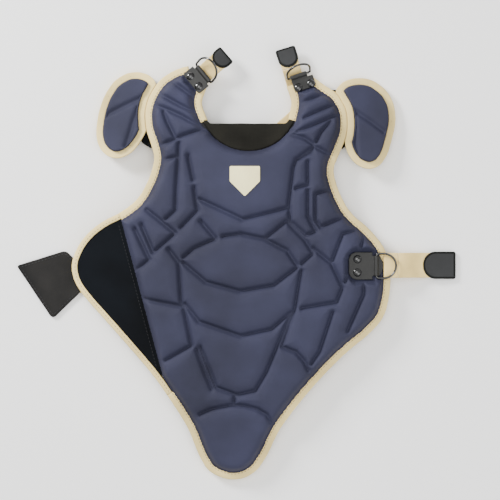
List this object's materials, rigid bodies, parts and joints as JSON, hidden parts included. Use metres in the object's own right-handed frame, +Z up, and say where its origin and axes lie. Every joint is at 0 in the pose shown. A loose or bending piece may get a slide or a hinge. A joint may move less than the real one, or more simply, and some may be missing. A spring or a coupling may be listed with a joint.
{
  "type": "chest protector",
  "caption": "Padded catcher's chest protector laid flat: dished body with neck notch, side wing, hinged shoulder caps, ring buckles and webbing harness.",
  "frame": {"origin": "on the table, under the middle of the bounding box of the whole protector, straps spread", "axes": "+Z up out of the chest face as it lies on its back, +Y towards the neck, +X to the viewer's right"},
  "size_m": [0.5283, 0.5218, 0.046],
  "materials": {
    "binding_tape": "ribbed tape",
    "black_fabric": "matt stretch fabric",
    "black_metal": "gloss black",
    "black_plastic": "moulded",
    "emblem": "raised transfer",
    "face_fabric": "matt woven nylon",
    "foam": "closed-cell foam",
    "hook_tape": "hook pile",
    "leather": "grained synthetic",
    "lining": "brushed mesh",
    "steel": "plain",
    "webbing": "brushed loop webbing"
  },
  "bodies": {
    "shell": {"back_liner": "lining", "back_patch_face": "leather", "back_patch_lining": "leather", "chest_emblem": "emblem", "front_cover": "face_fabric", "left_arm_binding": "binding_tape", "left_cap_gusset": "black_fabric", "left_neck_binding": "binding_tape", "left_shoulder_backing_plate": "steel", "left_shoulder_rivets": "black_metal", "left_shoulder_strap": "webbing", "left_shoulder_tab": "leather", "lower_binding": "binding_tape", "molded_foam": "foam", "rebound_foam": "foam", "right_cap_gusset": "black_fabric", "right_neck_binding": "binding_tape", "right_shoulder_backing_plate": "steel", "right_shoulder_rivets": "black_metal", "right_shoulder_strap": "webbing", "right_shoulder_tab": "leather", "side_backing_plate": "steel", "side_rivets": "black_metal", "side_tab": "leather", "throat_pad": "black_fabric", "waist_anchor_strap": "webbing", "waist_strap": "webbing"},
    "wing": {"wing_binding": "binding_tape", "wing_face": "black_fabric", "wing_foam": "foam", "wing_lining": "lining"},
    "left_cap": {"left_cap_backing": "lining", "left_cap_binding": "binding_tape", "left_cap_cover": "face_fabric", "left_cap_foam": "foam"},
    "right_cap": {"right_cap_backing": "lining", "right_cap_binding": "binding_tape", "right_cap_cover": "face_fabric", "right_cap_foam": "foam"},
    "left_shoulder_ring": {"left_shoulder_ring": "black_metal"},
    "left_shoulder_tail": {"left_shoulder_strap_end": "webbing", "left_shoulder_strap_tip": "black_plastic", "left_shoulder_hook_tape": "hook_tape"},
    "right_shoulder_ring": {"right_shoulder_ring": "black_metal"},
    "right_shoulder_tail": {"right_shoulder_strap_end": "webbing", "right_shoulder_strap_tip": "black_plastic", "right_shoulder_hook_tape": "hook_tape"},
    "side_ring": {"side_ring": "black_metal"},
    "side_tail": {"side_strap_end": "webbing", "side_strap_tip": "black_plastic", "side_hook_tape": "hook_tape"}
  },
  "joints": [
    {"name": "wing_fold", "type": "hinge", "parent": "shell", "child": "wing", "pos_m": [-0.11425, -0.03913, 0.0272], "axis": [-0.2566, 0.9665, 0], "range_deg": [0, 85]},
    {"name": "left_cap_fold", "type": "hinge", "parent": "shell", "child": "left_cap", "pos_m": [-0.0975, 0.215, 0.01638], "axis": [0.1887, 0.9777, -0.0921], "range_deg": [0, 80]},
    {"name": "right_cap_fold", "type": "hinge", "parent": "shell", "child": "right_cap", "pos_m": [0.12, 0.203, 0.01524], "axis": [0.1918, -0.9781, 0.0813], "range_deg": [0, 80]},
    {"name": "left_shoulder_ring_swing", "type": "hinge", "parent": "shell", "child": "left_shoulder_ring", "pos_m": [-0.0398, 0.22633, 0.02173], "axis": [0.628, -0.7656, 0.1395], "range_deg": [0, 45]},
    {"name": "left_shoulder_strap_peel", "type": "hinge", "parent": "shell", "child": "left_shoulder_tail", "pos_m": [-0.02662, 0.23728, 0.02103], "axis": [0.6561, -0.7547, 0], "range_deg": [0, 65]},
    {"name": "right_shoulder_ring_swing", "type": "hinge", "parent": "shell", "child": "right_shoulder_ring", "pos_m": [0.07459, 0.22424, 0.01982], "axis": [0.9361, 0.3276, -0.1284], "range_deg": [0, 25]},
    {"name": "right_shoulder_strap_peel", "type": "hinge", "parent": "shell", "child": "right_shoulder_tail", "pos_m": [0.06552, 0.23375, 0.01762], "axis": [0.9563, 0.2924, 0], "range_deg": [0, 60]},
    {"name": "side_ring_swing", "type": "hinge", "parent": "shell", "child": "side_ring", "pos_m": [0.16768, -0.00403, 0.02238], "axis": [-0.0017, -0.9999, -0.0104], "range_deg": [0, 70]},
    {"name": "side_strap_peel", "type": "hinge", "parent": "shell", "child": "side_tail", "pos_m": [0.1941, -0.0034, 0.01858], "axis": [0, -1, 0], "range_deg": [0, 80]}
  ]
}
